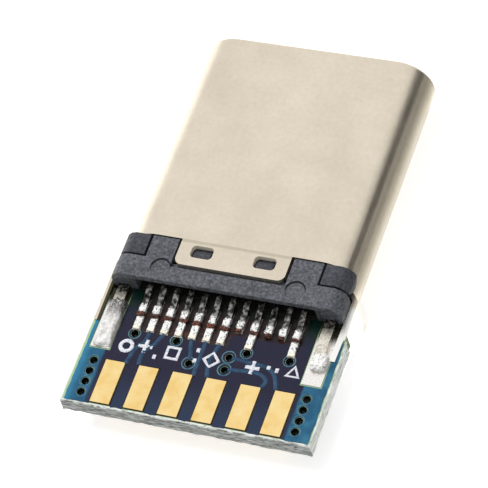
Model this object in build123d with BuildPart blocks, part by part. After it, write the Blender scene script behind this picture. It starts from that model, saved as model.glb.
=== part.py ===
from build123d import *
import os

os.makedirs("parts", exist_ok=True)

# Driving dimensions in millimetres.
# Lengths run along Y with the mouth at the +Y end. Heights are measured from the middle plane.

# Shell, drawn from one sheet
shell_width = 8.25
shell_height = 2.40
shell_wall = 0.20
roof_length = 8.41
lip_radius = 0.13
lip_inner_chamfer = 0.05
tab_width = 3.92
tab_length = 0.99
tab_corner_radius = 0.26
slot_width = 0.78
slot_length = 0.47
slot_corner_radius = 0.15
slot_spacing = 2.24
tab_shift = -0.05
slot_from_tab_end = 0.57
root_rise = 0.48
root_drop = 0.70
root_radius = 0.42
root_length = 0.50
tail_rise = 0.75
tail_drop = 1.05
tail_corner_radius = 0.12
prong_length = 1.10
prong_board_gap = 0.02

# Front insulator, which lines the shell and guides the mating tongue
fit_clearance = 0.02
insulator_setback = 0.25
cavity_side_wall = 0.505
cavity_height = 0.84
cavity_depth = 6.20
cavity_lead_in = 0.10
block_length = 0.82
block_width = 0.96
block_front_gap = 0.03
lug_width = 0.60
lug_length = 0.36
lug_height = 0.15

# Contact carriers, the moulded halves behind the insulator
carrier_side_inset = 0.025
carrier_sink = 0.03
carrier_corner_radius = 0.35
carrier_length = 0.82
carrier_seam = 0.07
bar_side_gap = 0.09
bar_front_gap = 0.03
block_side_gap = 0.09
recess_gap = 0.13
ejector_radius = 0.35
ejector_depth = 0.04
ejector_spacing = 4.80
ejector_from_rear = 0.49
leg_recess_margin = 0.45
leg_recess_depth = 0.42
leg_recess_roof = 0.22

# Spring contacts
contact_count = 12
contact_pitch = 0.50
contact_width = 0.20
contact_thickness = 0.12
contact_press_depth = 0.07
contact_tip_rise = 0.15
contact_bend_ease = 0.06
contact_slot_clearance = 0.01
channel_width = 0.30
channel_roof = 0.18
channel_top_gap = 0.17
channel_bottom_gap = 0.05
channel_front_from_mouth = 1.30
contact_tip_from_channel = 0.12
spring_rise = 0.35
spring_flat = 0.40
spring_root = 0.30
foot_length = 0.36
foot_reach = 0.87
slope_from_recess = 0.20

# Latch plate with its two side arms
latch_thickness = 0.16
latch_clearance = 0.02
latch_side_gap = 0.185
latch_plate_front = 0.30
arm_width = 0.28
arm_front_from_mouth = 1.25
arm_slot_half_height = 0.16
hook_depth = 0.20
hook_length = 0.45
solder_foot_width = 0.38
solder_foot_offset = 0.16
solder_foot_reach = 1.29

# Shield springs, one above and one below the cavity
spring_thickness = 0.09
spring_plate_inset = 0.75
spring_plate_length = 1.50
spring_front_from_mouth = 0.55
spring_recess_gap = 0.03
finger_width = 0.80
finger_length = 0.52
finger_spacing = 3.00
finger_front_margin = 0.12
finger_tip_gap = 0.02
finger_window_gap = 0.05

# Circuit board
board_thickness = 0.60
board_overhang = 0.10
board_wide_length = 4.24
board_shoulder_chamfer = 0.24
board_neck_inset = 0.12
board_engagement = 0.68
shoulder_setback = 0.39
shoulder_gap = 0.03
board_slot_gap = 0.02

# Copper pads and holes
pad_thickness = 0.035
contact_pad_width = 0.28
contact_pad_waist = 0.22
contact_pad_showing = 0.67
contact_pad_flare_length = 0.30
contact_pad_front_gap = 0.30
short_pad_showing = 0.12
short_pads = (8, 10, 11)
cable_pad_count = 6
cable_pad_pitch = 1.20
cable_pad_width = 0.69
cable_pad_length = 1.63
cable_pad_from_edge = 0.175
shield_pad_width = 0.68
shield_pad_offset = 0.05
shield_pad_showing = 1.13
shield_pad_front_gap = 0.10
hole_radius = 0.14
contact_hole_radius = 0.13
contact_hole_pads = (1, 4, 9, 12)
edge_hole_count = 4
edge_hole_pitch = 0.412
edge_hole_first = 0.47
edge_hole_inset = 0.65
signal_hole_left_x = -0.55
signal_hole_right_x = 0.715
signal_hole_far = 0.87
signal_hole_near = 0.385

# Solder
solder_height = 0.17
solder_side = 0.08
solder_front = 0.32
solder_rear = 0.42
solder_corner = 0.10
solder_draft = 18
fillet_length = 0.16

# Places along the plug, chained from the mouth to the rear edge of the board
overall_length = (
    roof_length + block_length + carrier_seam + carrier_length + shoulder_setback + board_wide_length
)
front_y = overall_length / 2
rear_y = -front_y
roof_end_y = front_y - roof_length
tab_end_y = roof_end_y - tab_length
insulator_front_y = front_y - insulator_setback
insulator_rear_y = roof_end_y - block_length
carrier_front_y = insulator_rear_y - carrier_seam
carrier_rear_y = carrier_front_y - carrier_length
shoulder_y = rear_y + board_wide_length
neck_front_y = carrier_rear_y + board_engagement
cavity_end_y = front_y - cavity_depth
channel_front_y = front_y - channel_front_from_mouth
jog_start_y = roof_end_y - root_length
jog_end_y = insulator_rear_y
tail_end_y = shoulder_y + shoulder_gap

# Margin for picking the edges that lie at one place
pick_margin = 0.01

# Half sizes and levels that several pieces share
middle_z = shell_height / 2
inner_width = shell_width - 2 * shell_wall
inner_height = shell_height - 2 * shell_wall
insulator_width = inner_width - 2 * fit_clearance
insulator_height = inner_height - 2 * fit_clearance
cavity_width = insulator_width - 2 * cavity_side_wall
carrier_width = shell_width - 2 * carrier_side_inset
carrier_top = shell_height / 2 - carrier_sink
tail_inner = carrier_width / 2 + fit_clearance
board_width = 2 * (tail_inner + shell_wall + board_overhang)
board_neck_width = carrier_width - 2 * board_neck_inset
recess_width = tab_width + 2 * bar_side_gap
block_spacing = carrier_width - 2 * block_width
bar_outer_spacing = block_spacing - 2 * block_side_gap
board_top = board_thickness / 2
pad_top = board_top + pad_thickness
channel_top = insulator_height / 2 - channel_roof
contact_level = channel_top - channel_top_gap - contact_thickness / 2
channel_bottom = contact_level - contact_thickness / 2 - channel_bottom_gap
contact_press_level = cavity_height / 2 - contact_press_depth
contact_tip_level = contact_press_level + contact_tip_rise
finger_tip_level = cavity_height / 2 + finger_tip_gap
spring_plate_width = cavity_width - 2 * spring_plate_inset
latch_half = latch_thickness / 2
latch_half_width = insulator_width / 2 - latch_side_gap
foot_centre = latch_half_width + solder_foot_offset - solder_foot_width / 2
foot_end_y = carrier_rear_y - foot_reach
solder_foot_end_y = carrier_rear_y - solder_foot_reach
slot_y = tab_end_y + slot_from_tab_end


def across(y):
    """Plane across the plug at y: sketch x is X, sketch y is height, extrusion runs to the rear."""
    return Plane(origin=(0, y, middle_z), x_dir=(1, 0, 0), z_dir=(0, -1, 0))


def lengthwise(x):
    """Plane along the plug at x: sketch x is Y, sketch y is height, extrusion runs to +X."""
    return Plane(origin=(x, 0, middle_z), x_dir=(0, 1, 0), z_dir=(1, 0, 0))


def level(height):
    """Level plane at a height above or below the middle plane."""
    return Plane.XY.offset(middle_z + height)


def contact_x(number):
    """Centre of one contact, counted from the left."""
    return (number - (contact_count + 1) / 2) * contact_pitch


def write(piece, name):
    """Label a finished piece and write its file."""
    piece.label = name
    export_step(piece, f"parts/{name}.step")


def tail_outline(flare):
    """Side view of a tail: its root with round inner corners and, with flare, the widening part."""
    arc_centre_y = roof_end_y - root_radius
    corners = [(arc_centre_y, root_rise), (jog_start_y, root_rise)]
    if flare:
        corners += [(jog_end_y, tail_rise), (jog_end_y, -tail_drop)]
    corners += [(jog_start_y, -root_drop), (arc_centre_y, -root_drop)]
    with BuildSketch() as outline:
        with BuildLine():
            top = CenterArc((arc_centre_y, root_rise + root_radius), root_radius, -90, 90)
            bottom = CenterArc((arc_centre_y, -root_drop - root_radius), root_radius, 0, 90)
            Polyline(*corners)
            Line(top @ 1, bottom @ 0)
        make_face()
    return outline.sketch


# Shell
with BuildPart() as shell:
    with BuildSketch(across(front_y)):
        SlotOverall(shell_width, shell_height)
    extrude(amount=roof_length + tab_length)
    with BuildSketch(across(front_y)):
        SlotOverall(inner_width, inner_height)
    extrude(amount=roof_length + tab_length, mode=Mode.SUBTRACT)
    for hand in (1, -1):
        # Behind the roof only the tab and the two tail roots stay
        with BuildSketch(lengthwise(tab_shift + hand * tab_width / 2)):
            with Locations((roof_end_y - roof_length / 2, 0)):
                Rectangle(roof_length, 2 * shell_height)
            add(tail_outline(flare=False), mode=Mode.SUBTRACT)
        extrude(amount=hand * shell_width, mode=Mode.SUBTRACT)
        # The root steps out and widens to pass beside the carriers
        with BuildSketch(across(jog_start_y)):
            SlotOverall(shell_width, shell_height)
            SlotOverall(inner_width, inner_height, mode=Mode.SUBTRACT)
            with Locations((hand * shell_width / 2, (root_rise - root_drop) / 2)):
                Rectangle(shell_height, root_rise + root_drop, mode=Mode.INTERSECT)
        with BuildSketch(across(jog_end_y)):
            with Locations((hand * (tail_inner + shell_wall / 2), (tail_rise - tail_drop) / 2)):
                Rectangle(shell_wall, tail_rise + tail_drop)
        loft(ruled=True)
        with BuildSketch(across(jog_end_y)):
            with Locations((hand * (tail_inner + shell_wall / 2), (tail_rise - tail_drop) / 2)):
                Rectangle(shell_wall, tail_rise + tail_drop)
        extrude(amount=jog_end_y - tail_end_y)
        # Prongs that reach back above and below the board
        with BuildSketch(across(tail_end_y)):
            with Locations((hand * (tail_inner + shell_wall / 2), 0)):
                Rectangle(shell_wall, 2 * tail_rise)
                Rectangle(shell_wall, board_thickness + 2 * prong_board_gap, mode=Mode.SUBTRACT)
        extrude(amount=prong_length)
    with BuildSketch(level(0)):
        with Locations((tab_shift, slot_y)):
            with GridLocations(slot_spacing, 0, 2, 1):
                RectangleRounded(slot_width, slot_length, slot_corner_radius)
    extrude(amount=shell_height, both=True, mode=Mode.SUBTRACT)
    tab_corners = shell.edges().filter_by(Axis.Z).filter_by_position(
        Axis.Y, tab_end_y - pick_margin, tab_end_y + pick_margin
    )
    fillet(tab_corners, tab_corner_radius)
    prong_end_y = tail_end_y - prong_length
    prong_corners = shell.edges().filter_by(Axis.X).filter_by_position(
        Axis.Y, prong_end_y - pick_margin, prong_end_y + pick_margin
    )
    tail_corners = shell.edges().filter_by(Axis.X).filter_by_position(
        Axis.Y, tail_end_y - pick_margin, tail_end_y + pick_margin
    )
    fillet(prong_corners + tail_corners.group_by(Axis.Z)[0], tail_corner_radius)
    mouth = shell.faces().sort_by(Axis.Y)[-1]
    fillet(mouth.outer_wire().edges(), lip_radius)
    mouth = shell.faces().filter_by(Axis.Y).sort_by(Axis.Y)[-1]
    chamfer(mouth.inner_wires()[0].edges(), lip_inner_chamfer)
write(shell.part, "shell")


# Front insulator
with BuildPart() as front_insulator:
    # Shoulder blocks at the two upper rear corners
    with BuildSketch(across(roof_end_y - block_front_gap)):
        RectangleRounded(carrier_width, 2 * carrier_top, carrier_corner_radius)
        Rectangle(block_spacing, shell_height, mode=Mode.SUBTRACT)
        with Locations((0, -shell_height / 2)):
            Rectangle(shell_width, shell_height, mode=Mode.SUBTRACT)
    extrude(amount=block_length - block_front_gap)
    with BuildSketch(lengthwise(0)):
        add(tail_outline(flare=True))
        offset(amount=block_front_gap, kind=Kind.INTERSECTION)
    extrude(amount=shell_width, both=True, mode=Mode.SUBTRACT)
    # Body that fills the shell
    with BuildSketch(across(insulator_front_y)):
        SlotOverall(insulator_width, insulator_height)
    extrude(amount=insulator_front_y - insulator_rear_y)
    # Cavity for the mating tongue, with a lead-in at its mouth
    with BuildSketch(across(insulator_front_y)):
        Rectangle(cavity_width, cavity_height)
    extrude(amount=insulator_front_y - cavity_end_y, mode=Mode.SUBTRACT)
    mouth = front_insulator.faces().filter_by(Axis.Y).sort_by(Axis.Y)[-1]
    chamfer(mouth.inner_wires()[0].edges(), cavity_lead_in)
    # Contact channels, open to the cavity and closed further back
    with BuildSketch(across(channel_front_y)):
        with GridLocations(contact_pitch, 0, contact_count, 1):
            Rectangle(channel_width, 2 * channel_top)
    extrude(amount=channel_front_y - cavity_end_y, mode=Mode.SUBTRACT)
    with BuildSketch(across(cavity_end_y)):
        with GridLocations(contact_pitch, channel_top + channel_bottom, contact_count, 2):
            Rectangle(channel_width, channel_top - channel_bottom)
    extrude(amount=cavity_end_y - insulator_rear_y, mode=Mode.SUBTRACT)
    # Slots for the latch plate and for its arms, which flex out through the side walls
    with BuildSketch(across(cavity_end_y)):
        Rectangle(2 * (latch_half_width + latch_clearance), latch_thickness + 2 * latch_clearance)
    extrude(amount=cavity_end_y - insulator_rear_y, mode=Mode.SUBTRACT)
    arm_slot_front_y = front_y - arm_front_from_mouth + latch_clearance
    with BuildSketch(across(arm_slot_front_y)):
        Rectangle(shell_width, 2 * arm_slot_half_height)
    extrude(amount=arm_slot_front_y - cavity_end_y, mode=Mode.SUBTRACT)
    # Recesses and windows for the shield springs
    recess_depth = spring_thickness + spring_recess_gap - fit_clearance
    recess_centre_y = front_y - spring_front_from_mouth - spring_plate_length / 2
    window_front_y = front_y - spring_front_from_mouth - finger_front_margin + finger_window_gap
    for side in (1, -1):
        with BuildSketch(level(side * insulator_height / 2)):
            with Locations((0, recess_centre_y)):
                Rectangle(
                    spring_plate_width + 2 * spring_recess_gap,
                    spring_plate_length + 2 * spring_recess_gap,
                )
        extrude(amount=-side * recess_depth, mode=Mode.SUBTRACT)
    with BuildSketch(level(0)):
        with Locations((0, window_front_y - finger_length / 2 - finger_window_gap)):
            with GridLocations(finger_spacing, 0, 2, 1):
                Rectangle(finger_width + 2 * finger_window_gap, finger_length + 2 * finger_window_gap)
    extrude(amount=insulator_height, both=True, mode=Mode.SUBTRACT)
    # Lugs that snap into the slots of the shell's tabs
    lug_foot = insulator_height / 2
    for side in (1, -1):
        for hand in (1, -1):
            with BuildSketch(lengthwise(tab_shift + hand * slot_spacing / 2)):
                with BuildLine():
                    Polyline(
                        (slot_y - lug_length / 2, side * (lug_foot - lug_height)),
                        (slot_y - lug_length / 2, side * (lug_foot + lug_height)),
                        (slot_y, side * (lug_foot + lug_height)),
                        (slot_y + lug_length / 2, side * lug_foot),
                        (slot_y + lug_length / 2, side * (lug_foot - lug_height)),
                        close=True,
                    )
                make_face()
            extrude(amount=lug_width / 2, both=True)
write(front_insulator.part, "front_insulator")


def make_carrier(name, side):
    """One moulded carrier half: side is 1 for the upper and -1 for the lower one."""
    with BuildPart() as carrier:
        # Body across the full width
        with BuildSketch(across(carrier_front_y)):
            RectangleRounded(carrier_width, 2 * carrier_top, carrier_corner_radius)
            with Locations((0, -side * carrier_top)):
                Rectangle(
                    2 * carrier_width,
                    2 * (carrier_top + latch_half + latch_clearance),
                    mode=Mode.SUBTRACT,
                )
        extrude(amount=carrier_length)
        # Side bars that reach forward beside the shell's tab
        with BuildSketch(level(side * carrier_top)):
            bar_length = block_length - bar_front_gap + carrier_seam
            with Locations((0, carrier_front_y + bar_length / 2)):
                Rectangle(bar_outer_spacing, bar_length)
            with Locations((tab_shift, carrier_front_y + bar_length / 2)):
                Rectangle(recess_width, bar_length, mode=Mode.SUBTRACT)
        extrude(amount=-side * (carrier_top - inner_height / 2))
        # Recess that takes the end of the tab
        recess_front_y = tab_end_y - recess_gap
        with BuildSketch(level(side * carrier_top)):
            with Locations((tab_shift, (recess_front_y + carrier_front_y) / 2)):
                Rectangle(recess_width, carrier_front_y - recess_front_y)
        extrude(amount=-side * (carrier_top - insulator_height / 2), mode=Mode.SUBTRACT)
        # Slot for the neck of the board
        with BuildSketch(across(carrier_rear_y + board_engagement + board_slot_gap)):
            Rectangle(2 * carrier_width, board_thickness + 2 * board_slot_gap)
        extrude(amount=board_engagement + board_slot_gap, mode=Mode.SUBTRACT)
        # Room for the solder feet of the latch plate
        if side > 0:
            foot_room = pad_top + latch_thickness + latch_clearance
            with BuildSketch(across(carrier_front_y)):
                with GridLocations(2 * foot_centre, 0, 2, 1):
                    Rectangle(solder_foot_width + 2 * latch_clearance, 2 * foot_room)
            extrude(amount=carrier_length, mode=Mode.SUBTRACT)
        # Passages that hold the contacts
        with BuildSketch(across(carrier_front_y)):
            with Locations((0, side * contact_level)):
                with GridLocations(contact_pitch, 0, contact_count, 1):
                    Rectangle(
                        contact_width + 2 * contact_slot_clearance,
                        contact_thickness + 2 * contact_slot_clearance,
                    )
        extrude(amount=carrier_length, mode=Mode.SUBTRACT)
        # Wide recess in the rear face, out of which the legs of the contacts come
        leg_row_width = (contact_count - 1) * contact_pitch
        with BuildSketch(across(carrier_rear_y + leg_recess_depth)):
            Rectangle(leg_row_width + 2 * leg_recess_margin, 2 * (carrier_top - leg_recess_roof))
        extrude(amount=leg_recess_depth, mode=Mode.SUBTRACT)
        # Shallow round marks left by the mould's ejector pins
        with BuildSketch(level(side * carrier_top)):
            with Locations((0, carrier_rear_y + ejector_from_rear)):
                with GridLocations(ejector_spacing, 0, 2, 1):
                    Circle(ejector_radius)
        extrude(amount=-side * ejector_depth, mode=Mode.SUBTRACT)
    write(carrier.part, name)


make_carrier("upper_carrier", 1)
make_carrier("lower_carrier", -1)


def make_contact(name, x, side):
    """One stamped contact: solder foot, slope, straight shank and bowed spring end."""
    half = contact_thickness / 2
    tip_y = channel_front_y - contact_tip_from_channel
    press_y = tip_y - spring_rise
    slope_end_y = carrier_rear_y + leg_recess_depth - slope_from_recess
    route = [
        (foot_end_y, pad_top + half),
        (foot_end_y + foot_length, pad_top + half),
        (slope_end_y, contact_level),
        (cavity_end_y + spring_root, contact_level),
        (press_y - spring_flat, contact_press_level),
        (press_y, contact_press_level),
        (tip_y, contact_tip_level),
    ]
    with BuildPart() as contact:
        with BuildSketch(lengthwise(x)):
            with BuildLine():
                lower_edge = Polyline(*[(y, side * (height - half)) for y, height in route])
                offset(
                    lower_edge,
                    amount=contact_thickness,
                    side=Side.LEFT if side > 0 else Side.RIGHT,
                    kind=Kind.INTERSECTION,
                )
            make_face()
            visible_bends = vertices().filter_by_position(
                Axis.X, foot_end_y + foot_length / 2, carrier_rear_y + leg_recess_depth
            )
            chamfer(visible_bends, contact_bend_ease)
        extrude(amount=contact_width / 2, both=True)
    write(contact.part, name)


for number in range(1, contact_count + 1):
    make_contact(f"upper_contact_{number:02d}", contact_x(number), 1)
    make_contact(f"lower_contact_{number:02d}", contact_x(number), -1)


# Latch plate
with BuildPart() as latch_plate:
    plate_front_y = cavity_end_y - latch_plate_front
    riser_front_y = neck_front_y + board_slot_gap + latch_thickness
    arm_front_y = front_y - arm_front_from_mouth
    with BuildSketch(level(-latch_half)):
        with Locations((0, (plate_front_y + riser_front_y) / 2)):
            Rectangle(2 * latch_half_width, plate_front_y - riser_front_y)
        arm_centre = latch_half_width - arm_width / 2
        with Locations((0, (arm_front_y + riser_front_y) / 2)):
            with GridLocations(2 * arm_centre, 0, 2, 1):
                Rectangle(arm_width, arm_front_y - riser_front_y)
        # Hooks that point inwards at the front of the arms
        for hand in (1, -1):
            arm_inner = hand * (latch_half_width - arm_width)
            with BuildLine():
                Polyline(
                    (arm_inner, arm_front_y),
                    (arm_inner - hand * hook_depth, arm_front_y - hook_length / 2),
                    (arm_inner - hand * hook_depth, arm_front_y - hook_length * 2 / 3),
                    (arm_inner, arm_front_y - hook_length),
                    close=True,
                )
            make_face()
    extrude(amount=latch_thickness)
    # Feet that step up and lie on the board's shield pads
    for hand in (1, -1):
        with BuildSketch(lengthwise(hand * foot_centre)):
            with BuildLine():
                Polyline(
                    (riser_front_y, -latch_half),
                    (riser_front_y, pad_top + latch_thickness),
                    (solder_foot_end_y, pad_top + latch_thickness),
                    (solder_foot_end_y, pad_top),
                    (riser_front_y - latch_thickness, pad_top),
                    (riser_front_y - latch_thickness, -latch_half),
                    close=True,
                )
            make_face()
        extrude(amount=solder_foot_width / 2, both=True)
write(latch_plate.part, "latch_plate")


def make_shield_spring(name, side):
    """Thin plate under the shell's roof with two fingers bent into the cavity."""
    plate_face = inner_height / 2 - fit_clearance
    plate_front_y = front_y - spring_front_from_mouth
    finger_front_y = plate_front_y - finger_front_margin
    with BuildPart() as spring:
        with BuildSketch(level(side * plate_face)):
            with Locations((0, plate_front_y - spring_plate_length / 2)):
                Rectangle(spring_plate_width, spring_plate_length)
            with Locations((0, finger_front_y - finger_length / 2)):
                with GridLocations(finger_spacing, 0, 2, 1):
                    Rectangle(finger_width, finger_length, mode=Mode.SUBTRACT)
        extrude(amount=-side * spring_thickness)
        for hand in (1, -1):
            with BuildSketch(lengthwise(hand * finger_spacing / 2)):
                with BuildLine():
                    Polyline(
                        (finger_front_y, side * plate_face),
                        (finger_front_y, side * (plate_face - spring_thickness)),
                        (finger_front_y - finger_length + 2 * spring_thickness, side * finger_tip_level),
                        (finger_front_y - finger_length + spring_thickness, side * finger_tip_level),
                        close=True,
                    )
                make_face()
            extrude(amount=finger_width / 2, both=True)
    write(spring.part, name)


make_shield_spring("upper_shield_spring", 1)
make_shield_spring("lower_shield_spring", -1)


# Circuit board
contact_pad_rear_y = foot_end_y - contact_pad_showing
contact_hole_y = contact_pad_rear_y - contact_hole_radius
with BuildPart() as circuit_board:
    with BuildSketch(level(-board_top)):
        with Locations((0, rear_y + board_wide_length / 2)):
            Rectangle(board_width, board_wide_length)
        chamfer(vertices().group_by(Axis.Y)[-1], board_shoulder_chamfer)
        with Locations((0, (shoulder_y + neck_front_y) / 2)):
            Rectangle(board_neck_width, neck_front_y - shoulder_y)
        # Plated holes along both side edges
        edge_hole_mid_y = rear_y + edge_hole_first + (edge_hole_count - 1) * edge_hole_pitch / 2
        with Locations((0, edge_hole_mid_y)):
            with GridLocations(board_width - 2 * edge_hole_inset, edge_hole_pitch, 2, edge_hole_count):
                Circle(hole_radius, mode=Mode.SUBTRACT)
        # Plated holes at the ends of the power and ground pads
        with Locations(*[(contact_x(number), contact_hole_y) for number in contact_hole_pads]):
            Circle(contact_hole_radius, mode=Mode.SUBTRACT)
        # Holes that carry signals to the other side
        with Locations(
            (signal_hole_left_x, contact_pad_rear_y - signal_hole_far),
            (signal_hole_right_x, contact_pad_rear_y - signal_hole_far),
            (signal_hole_right_x, contact_pad_rear_y - signal_hole_near),
        ):
            Circle(contact_hole_radius, mode=Mode.SUBTRACT)
    extrude(amount=board_thickness)
write(circuit_board.part, "circuit_board")


def make_cable_pads(name, side):
    """Row of pads for the cable's wires near the rear edge."""
    with BuildPart() as pads:
        with BuildSketch(level(side * board_top)):
            with Locations((0, rear_y + cable_pad_from_edge + cable_pad_length / 2)):
                with GridLocations(cable_pad_pitch, 0, cable_pad_count, 1):
                    Rectangle(cable_pad_width, cable_pad_length)
        extrude(amount=side * pad_thickness)
    write(pads.part, name)


def make_contact_pads(name, side):
    """Row of pads under the contacts' feet, flared at the rear, some of them short."""
    pad_front_y = carrier_rear_y - contact_pad_front_gap
    with BuildPart() as pads:
        with BuildSketch(level(side * board_top)):
            for number in range(1, contact_count + 1):
                x = contact_x(number)
                if number in short_pads:
                    pad_rear_y = foot_end_y - short_pad_showing
                    with Locations((x, (pad_front_y + pad_rear_y) / 2)):
                        Rectangle(contact_pad_waist, pad_front_y - pad_rear_y)
                    continue
                with BuildLine():
                    Polyline(
                        (x - contact_pad_width / 2, contact_pad_rear_y),
                        (x + contact_pad_width / 2, contact_pad_rear_y),
                        (x + contact_pad_waist / 2, contact_pad_rear_y + contact_pad_flare_length),
                        (x + contact_pad_waist / 2, pad_front_y),
                        (x - contact_pad_waist / 2, pad_front_y),
                        (x - contact_pad_waist / 2, contact_pad_rear_y + contact_pad_flare_length),
                        close=True,
                    )
                make_face()
        extrude(amount=side * pad_thickness)
    write(pads.part, name)


def make_shield_pads(name, side):
    """Two wide pads beside the contacts for the latch plate's feet."""
    pad_front_y = carrier_rear_y - shield_pad_front_gap
    pad_rear_y = solder_foot_end_y - shield_pad_showing
    with BuildPart() as pads:
        with BuildSketch(level(side * board_top)):
            with Locations((0, (pad_front_y + pad_rear_y) / 2)):
                with GridLocations(2 * (foot_centre + shield_pad_offset), 0, 2, 1):
                    Rectangle(shield_pad_width, pad_front_y - pad_rear_y)
        extrude(amount=side * pad_thickness)
    write(pads.part, name)


for end, side in (("top", 1), ("bottom", -1)):
    make_cable_pads(f"cable_pads_{end}", side)
    make_contact_pads(f"contact_pads_{end}", side)
    make_shield_pads(f"shield_pads_{end}", side)


# Solder over the feet of the latch plate
with BuildPart() as shield_solder:
    mound_front_y = carrier_rear_y - solder_front
    mound_rear_y = solder_foot_end_y - solder_rear
    with BuildSketch(level(pad_top)):
        with Locations((0, (mound_front_y + mound_rear_y) / 2)):
            with GridLocations(2 * foot_centre, 0, 2, 1):
                Rectangle(solder_foot_width + 2 * solder_side, mound_front_y - mound_rear_y)
        chamfer(vertices(), solder_corner)
    extrude(amount=latch_thickness + solder_height, taper=solder_draft)
    with BuildSketch(level(pad_top)):
        with Locations((0, (solder_foot_end_y + carrier_rear_y) / 2)):
            with GridLocations(2 * foot_centre, 0, 2, 1):
                Rectangle(solder_foot_width, carrier_rear_y - solder_foot_end_y)
    extrude(amount=latch_thickness, mode=Mode.SUBTRACT)
write(shield_solder.part, "shield_solder")


def make_contact_solder(name, side):
    """Solder fillets behind the ends of the contacts' feet."""
    with BuildPart() as fillets:
        for number in range(1, contact_count + 1):
            if number in short_pads:
                continue
            with BuildSketch(lengthwise(contact_x(number))):
                with BuildLine():
                    Polyline(
                        (foot_end_y, side * pad_top),
                        (foot_end_y, side * (pad_top + contact_thickness)),
                        (foot_end_y - fillet_length, side * pad_top),
                        close=True,
                    )
                make_face()
            extrude(amount=contact_width / 2, both=True)
    write(fillets.part, name)


make_contact_solder("contact_solder_top", 1)
make_contact_solder("contact_solder_bottom", -1)
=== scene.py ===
import math
import random

import bpy
from mathutils import Matrix, Vector

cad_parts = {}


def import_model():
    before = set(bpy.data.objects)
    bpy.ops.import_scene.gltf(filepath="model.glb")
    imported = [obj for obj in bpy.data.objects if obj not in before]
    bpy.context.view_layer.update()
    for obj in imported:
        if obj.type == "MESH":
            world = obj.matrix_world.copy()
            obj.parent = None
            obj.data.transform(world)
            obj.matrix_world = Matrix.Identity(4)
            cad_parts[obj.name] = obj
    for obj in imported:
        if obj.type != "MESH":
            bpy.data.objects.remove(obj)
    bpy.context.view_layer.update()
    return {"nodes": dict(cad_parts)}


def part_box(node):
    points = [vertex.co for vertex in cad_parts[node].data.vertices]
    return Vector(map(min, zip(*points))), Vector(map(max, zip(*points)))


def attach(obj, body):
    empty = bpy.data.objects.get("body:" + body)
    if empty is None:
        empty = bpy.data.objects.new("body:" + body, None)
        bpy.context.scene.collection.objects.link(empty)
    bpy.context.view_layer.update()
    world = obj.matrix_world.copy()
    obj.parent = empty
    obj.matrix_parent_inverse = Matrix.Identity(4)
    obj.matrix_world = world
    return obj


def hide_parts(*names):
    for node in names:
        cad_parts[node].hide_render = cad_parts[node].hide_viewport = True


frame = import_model()

# Pieces are modelled in millimetres and brought to metres when they are finished
mm = 0.001

# Camera, from the straight edges of the plug in the photograph
camera_azimuth = 35.829
camera_elevation = 53.3985
camera_roll = -20.6024
camera_distance = 100.469
camera_aim = Vector((-0.3925, -0.1317, 1.2))
camera_lens = 220.95
sensor_width = 36.0


def corners(node):
    """Both corners of a solid's box, in millimetres."""
    return [Vector(corner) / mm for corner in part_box(node)]


# Levels and edges, from the solids
board_low, board_high = corners("circuit_board")
cable_pad_low, cable_pad_high = corners("cable_pads_top")
contact_pad_low, contact_pad_high = corners("contact_pads_top")
shield_pad_low, shield_pad_high = corners("shield_pads_top")
carrier_low, carrier_high = corners("upper_carrier")
shell_low, shell_high = corners("shell")
board_middle = (board_low.z + board_high.z) / 2
board_thickness = board_high.z - board_low.z
pad_top = contact_pad_high.z
carrier_rear = carrier_low.y
pad_rear = contact_pad_low.y
foot_end = corners("upper_contact_01")[0].y

# Tab of the shell, its slots and the prongs beside the board
shell_top = shell_high.z
shell_wall = 0.20
roof_end = -1.035
tab_end = -2.025
tab_middle = -0.05
tab_half_width = 1.96
slot_middle = 1.12
slot_half_width = 0.39
slot_half_length = 0.235
slot_y = -1.455
prong_inner = 4.12
prong_end = shell_low.y
tail_rise = 0.42
prong_slope_start = -2.30
prong_rise_end = 0.35
prong_lean = 0.08
corner_radius = 0.50

# Round marks of the mould's ejector pins in the carrier
pin_mark_x = 2.40
pin_mark_y = 0.49
pin_mark_radius = 0.35

# How far a cutter reaches past what it cuts, and how near a vertex lies to the edge that it is on
spare = 0.1
touch = 0.01

# Board outline, and the grid of the slabs whose edges are ragged
slab_step = 0.11
board_wide_length = 4.24
shoulder_chamfer = 0.24
neck_half_width = 3.98
mask_border_left = 0.17
mask_border_right = 0.10
mask_rear_border = 0.11
mask_neck_border = 0.10
mask_thickness = 0.02

# Window in the mask round each pad and hole, and how far the mask lies off its place
mask_margin = 0.045
mask_hole_margin = 0.012
mask_shift_x = 0.022
mask_shift_y = -0.02

# Heaps of solder on the latch feet
left_heap_sides = (-4.05, -3.38)
left_heap_front = carrier_rear - 0.58
left_heap_height = 0.31
left_heap_slant = 0.20
left_heap_drop = 0.19
right_knot_low = (3.54, -4.62)
right_knot_high = (4.02, -4.02)
right_knot_height = 0.24

# Tin and flux on one contact pad
tin_half_width = 0.13
tin_height = 0.075
foot_solder_length = 0.33
foot_solder_height = 0.17
flux_height = 0.14

# Rows of pads
contact_count = 12
contact_pitch = 0.50
short_pads = (8, 10, 11)
hole_pads = (1, 4, 9, 12)
cable_pad_count = 6
cable_pad_pitch = 1.20
cable_pad_width = 0.69
shield_pad_width = 0.68


def contact_x(number):
    """Middle of one contact, counted from the left."""
    return (number - (contact_count + 1) / 2) * contact_pitch


# Holes
edge_hole_radius = 0.14
signal_hole_radius = 0.13
edge_hole_x = 3.77
edge_hole_pitch = 0.412
edge_hole_count = 4
edge_hole_first = 0.47
contact_holes = [(contact_x(number), pad_rear - signal_hole_radius) for number in hole_pads]
signal_holes = [(-0.55, -5.155), (0.715, -5.155), (0.715, -4.67)]
inner_holes = contact_holes + signal_holes
edge_holes = [
    (hand * edge_hole_x, board_low.y + edge_hole_first + step * edge_hole_pitch)
    for hand in (-1, 1)
    for step in range(edge_hole_count)
]


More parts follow.
